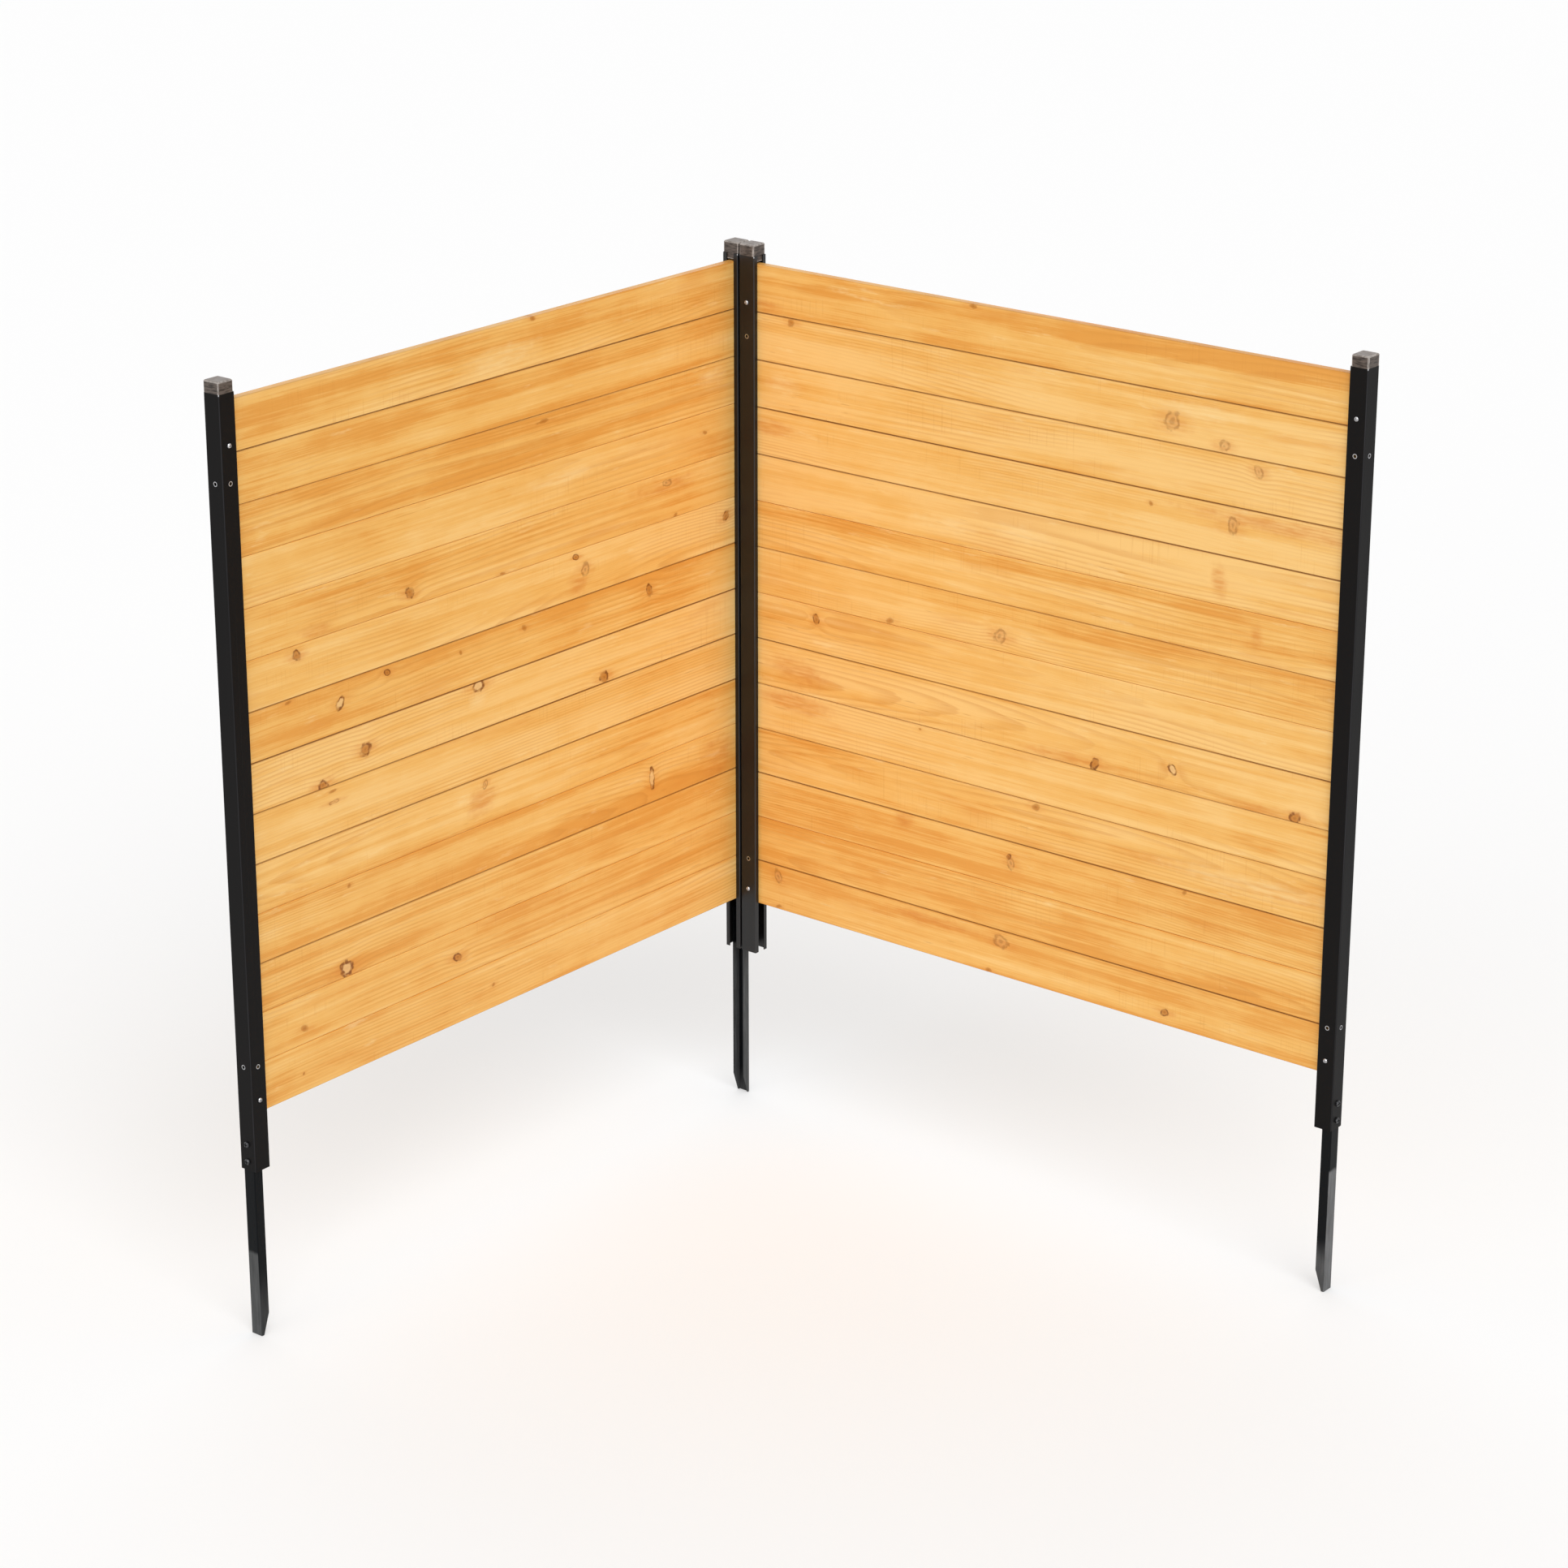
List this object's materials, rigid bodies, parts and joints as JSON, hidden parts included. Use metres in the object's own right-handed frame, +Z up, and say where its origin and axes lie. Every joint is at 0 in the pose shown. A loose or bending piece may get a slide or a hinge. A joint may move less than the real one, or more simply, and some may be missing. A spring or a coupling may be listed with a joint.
{
  "type": "garden privacy screen",
  "caption": "Corner privacy screen for a garden: stained tongue-and-groove boards held in black steel channel posts with plastic caps, on steel ground stakes.",
  "frame": {"origin": "centre of the bounding box in plan, at the level of the stake tips", "axes": "+Z up; the left panel runs along -Y from the corner and the right panel along +X; the inner side faces +X and -Y"},
  "size_m": [0.9858, 0.9606, 1.219],
  "materials": {
    "post_steel": "black powder coat, satin",
    "stake_steel": "black paint, semi-gloss",
    "cap_plastic": "moulded, fine matt texture",
    "board_wood": "honey-stained softwood with grain and knots, thin clear coat",
    "fastener_steel": "bright zinc plating"
  },
  "bodies": {
    "screen": {"left_corner_post": "post_steel", "left_corner_board_screws": "fastener_steel", "left_outer_post": "post_steel", "left_outer_board_screws": "fastener_steel", "right_corner_post": "post_steel", "right_corner_board_screws": "fastener_steel", "right_outer_post": "post_steel", "right_outer_board_screws": "fastener_steel", "left_board_01": "board_wood", "left_board_02": "board_wood", "left_board_03": "board_wood", "left_board_04": "board_wood", "left_board_05": "board_wood", "left_board_06": "board_wood", "left_board_07": "board_wood", "left_board_08": "board_wood", "left_board_09": "board_wood", "left_board_10": "board_wood", "left_board_11": "board_wood", "left_board_12": "board_wood", "left_board_13": "board_wood", "left_board_14": "board_wood", "right_board_01": "board_wood", "right_board_02": "board_wood", "right_board_03": "board_wood", "right_board_04": "board_wood", "right_board_05": "board_wood", "right_board_06": "board_wood", "right_board_07": "board_wood", "right_board_08": "board_wood", "right_board_09": "board_wood", "right_board_10": "board_wood", "right_board_11": "board_wood", "right_board_12": "board_wood", "right_board_13": "board_wood", "right_board_14": "board_wood", "left_outer_stake": "stake_steel", "left_outer_stake_bolts": "fastener_steel", "left_outer_stake_nuts": "fastener_steel", "corner_stake": "stake_steel", "corner_stake_bolts": "fastener_steel", "corner_stake_nuts": "fastener_steel", "right_outer_stake": "stake_steel", "right_outer_stake_bolts": "fastener_steel", "right_outer_stake_nuts": "fastener_steel", "corner_bolts": "fastener_steel", "corner_spacers": "fastener_steel", "corner_nuts": "fastener_steel"},
    "left_corner_cap": {"left_corner_cap": "cap_plastic"},
    "left_outer_cap": {"left_outer_cap": "cap_plastic"},
    "right_corner_cap": {"right_corner_cap": "cap_plastic"},
    "right_outer_cap": {"right_outer_cap": "cap_plastic"}
  },
  "joints": [
    {"name": "left_corner_cap_pull", "type": "slide", "parent": "screen", "child": "left_corner_cap", "axis": [0, 0, 1], "range_m": [0, 0.03]},
    {"name": "left_outer_cap_pull", "type": "slide", "parent": "screen", "child": "left_outer_cap", "axis": [0, 0, 1], "range_m": [0, 0.03]},
    {"name": "right_corner_cap_pull", "type": "slide", "parent": "screen", "child": "right_corner_cap", "axis": [0, 0, 1], "range_m": [0, 0.03]},
    {"name": "right_outer_cap_pull", "type": "slide", "parent": "screen", "child": "right_outer_cap", "axis": [0, 0, 1], "range_m": [0, 0.03]}
  ]
}
